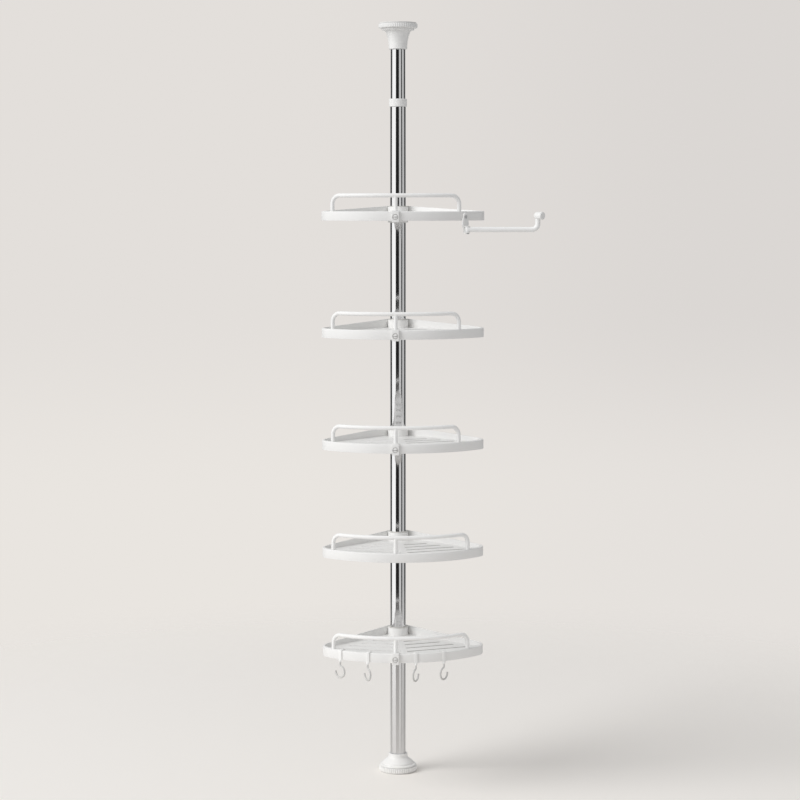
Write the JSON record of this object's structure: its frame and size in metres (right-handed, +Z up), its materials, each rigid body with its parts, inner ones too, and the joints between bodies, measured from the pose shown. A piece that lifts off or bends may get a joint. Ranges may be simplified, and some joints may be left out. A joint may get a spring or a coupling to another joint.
{
  "type": "tension pole shelf unit",
  "caption": "Floor-to-ceiling tension pole with corner trays, guard rails, a swinging towel arm and small hooks; chromed pole, white trays.",
  "frame": {"origin": "on the pole's axis at the underside of the floor pad", "axes": "+Z up along the pole; the trays open towards -Y and their corner is on the +Y side"},
  "size_m": [0.4321, 0.2853, 1.524],
  "materials": {
    "white_plastic": "satin",
    "coated_steel": "gloss",
    "nylon": "matte",
    "rubber": "matte",
    "chrome": "mirror",
    "zinc_steel": "satin"
  },
  "bodies": {
    "pole": {"floor_pad": "rubber", "foot": "white_plastic", "lower_tube": "chrome", "middle_tube": "chrome", "tube_coupler": "zinc_steel", "lock_ring": "nylon"},
    "collar": {"locking_collar": "white_plastic"},
    "top_pole": {"upper_tube": "chrome", "guide_bush": "nylon", "spring_stop": "zinc_steel", "tension_spring": "zinc_steel"},
    "cup": {"ceiling_cup": "white_plastic", "ceiling_pad": "rubber", "spring_plunger": "nylon"},
    "shelf_1_mount": {"shelf_1_collet": "nylon"},
    "shelf_1": {"shelf_1_tray": "white_plastic", "shelf_1_guard_rail": "coated_steel", "shelf_1_rail_clip": "white_plastic", "shelf_1_clip_screw": "white_plastic", "towel_bracket": "white_plastic", "bracket_screw": "zinc_steel", "towel_pin": "zinc_steel"},
    "shelf_2_mount": {"shelf_2_collet": "nylon"},
    "shelf_2": {"shelf_2_tray": "white_plastic", "shelf_2_guard_rail": "coated_steel", "shelf_2_rail_clip": "white_plastic", "shelf_2_clip_screw": "white_plastic"},
    "shelf_3_mount": {"shelf_3_collet": "nylon"},
    "shelf_3": {"shelf_3_tray": "white_plastic", "shelf_3_guard_rail": "coated_steel", "shelf_3_rail_clip": "white_plastic", "shelf_3_clip_screw": "white_plastic"},
    "shelf_4_mount": {"shelf_4_collet": "nylon"},
    "shelf_4": {"shelf_4_tray": "white_plastic", "shelf_4_guard_rail": "coated_steel"},
    "shelf_5_mount": {"shelf_5_collet": "nylon"},
    "shelf_5": {"shelf_5_tray": "white_plastic", "shelf_5_guard_rail": "coated_steel", "shelf_5_rail_clip": "white_plastic", "shelf_5_clip_screw": "white_plastic"},
    "towel_arm": {"towel_arm": "coated_steel", "towel_knob": "white_plastic"},
    "hook_1": {"hook_1": "coated_steel"},
    "hook_2": {"hook_2": "coated_steel"},
    "hook_3": {"hook_3": "coated_steel"},
    "hook_4": {"hook_4": "coated_steel"}
  },
  "joints": [
    {"name": "pole_extension", "type": "slide", "parent": "pole", "child": "top_pole", "axis": [0, 0, 1], "range_m": [0, 0.4]},
    {"name": "cup_spring", "type": "slide", "parent": "top_pole", "child": "cup", "axis": [0, 0, 1], "range_m": [-0.016, 0], "stiffness_N_per_m": 3000, "springref_m": 0.01, "deforming": ["tension_spring"]},
    {"name": "collar_twist", "type": "hinge", "parent": "pole", "child": "collar", "pos_m": [0, 0, 1.36], "axis": [0, 0, 1], "range_deg": [-45, 0]},
    {"name": "shelf_1_height", "type": "slide", "parent": "pole", "child": "shelf_1_mount", "axis": [0, 0, 1], "range_m": [-0.06, 0.06]},
    {"name": "shelf_1_swivel", "type": "hinge", "parent": "shelf_1_mount", "child": "shelf_1", "pos_m": [0, 0, 1.149], "axis": [0, 0, 1], "range_deg": [-30, 30]},
    {"name": "shelf_2_height", "type": "slide", "parent": "pole", "child": "shelf_2_mount", "axis": [0, 0, 1], "range_m": [-0.06, 0.06]},
    {"name": "shelf_2_swivel", "type": "hinge", "parent": "shelf_2_mount", "child": "shelf_2", "pos_m": [0, 0, 0.9213], "axis": [0, 0, 1], "range_deg": [-30, 30]},
    {"name": "shelf_3_height", "type": "slide", "parent": "pole", "child": "shelf_3_mount", "axis": [0, 0, 1], "range_m": [-0.06, 0.06]},
    {"name": "shelf_3_swivel", "type": "hinge", "parent": "shelf_3_mount", "child": "shelf_3", "pos_m": [0, 0, 0.7013], "axis": [0, 0, 1], "range_deg": [-30, 30]},
    {"name": "shelf_4_height", "type": "slide", "parent": "pole", "child": "shelf_4_mount", "axis": [0, 0, 1], "range_m": [-0.06, 0.06]},
    {"name": "shelf_4_swivel", "type": "hinge", "parent": "shelf_4_mount", "child": "shelf_4", "pos_m": [0, 0, 0.4885], "axis": [0, 0, 1], "range_deg": [-30, 30]},
    {"name": "shelf_5_height", "type": "slide", "parent": "pole", "child": "shelf_5_mount", "axis": [0, 0, 1], "range_m": [-0.06, 0.06]},
    {"name": "shelf_5_swivel", "type": "hinge", "parent": "shelf_5_mount", "child": "shelf_5", "pos_m": [0, 0, 0.2915], "axis": [0, 0, 1], "range_deg": [-30, 30]},
    {"name": "towel_arm_swing", "type": "hinge", "parent": "shelf_1", "child": "towel_arm", "pos_m": [0.13435, -0.19936, 1.114], "axis": [0, 0, 1], "range_deg": [-120, 32]},
    {"name": "hook_1_slide", "type": "hinge", "parent": "shelf_5", "child": "hook_1", "pos_m": [0.00209, -0.03068, 0.2915], "axis": [0, 0, 1], "range_deg": [-2, 3]},
    {"name": "hook_2_slide", "type": "hinge", "parent": "shelf_5", "child": "hook_2", "pos_m": [0.00209, -0.03068, 0.2915], "axis": [0, 0, 1], "range_deg": [-4, 6]},
    {"name": "hook_3_slide", "type": "hinge", "parent": "shelf_5", "child": "hook_3", "pos_m": [0.00209, -0.03068, 0.2915], "axis": [0, 0, 1], "range_deg": [-5, 4]},
    {"name": "hook_4_slide", "type": "hinge", "parent": "shelf_5", "child": "hook_4", "pos_m": [0.00209, -0.03068, 0.2915], "axis": [0, 0, 1], "range_deg": [-3, 8]}
  ]
}
